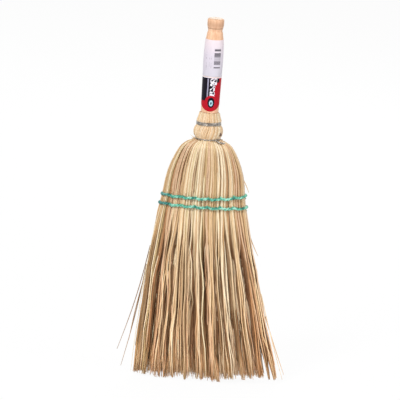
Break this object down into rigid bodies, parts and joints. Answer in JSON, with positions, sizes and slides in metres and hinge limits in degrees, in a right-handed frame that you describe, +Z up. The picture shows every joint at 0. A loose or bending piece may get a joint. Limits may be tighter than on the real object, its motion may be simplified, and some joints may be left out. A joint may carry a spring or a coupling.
{
  "type": "short-handled straw hand broom",
  "caption": "Short turned wooden handle set into a wire-bound, cord-sewn fan of straw, for sweeping floors and hearths by hand.",
  "frame": {"origin": "centre of the broom's own axis on the flat sweep end of the straw, under the handle", "axes": "+Z up the handle from the sweep end to the knob; the fan is widest along X; -Y is the front, where the printed labels are"},
  "size_m": [0.2208, 0.062, 0.49],
  "materials": {
    "handle_wood": "sanded, bare, close grained",
    "label_paper": null,
    "printed_label": null,
    "straw": "dry natural stems, light gold to brown",
    "binding_wire": "galvanised soft wire",
    "nail_steel": "dark drawn steel",
    "sewing_cord": "two-ply twisted cord, green"
  },
  "bodies": {
    "root": {"handle": "handle_wood", "upper_label": "label_paper", "lower_label": "printed_label", "top_binding_wire": "binding_wire", "lower_binding_wire": "binding_wire", "core_binding_wire": "binding_wire", "wire_nails": "nail_steel", "upper_cord_wrap": "sewing_cord", "upper_stitches": "sewing_cord", "upper_cord_knot": "sewing_cord", "lower_cord_wrap": "sewing_cord", "lower_stitches": "sewing_cord", "lower_cord_knot": "sewing_cord", "core_straw": "straw", "front_straw": "straw", "back_straw": "straw", "left_shoulder_straw": "straw", "right_shoulder_straw": "straw", "stray_stems": "straw"}
  },
  "joints": []
}
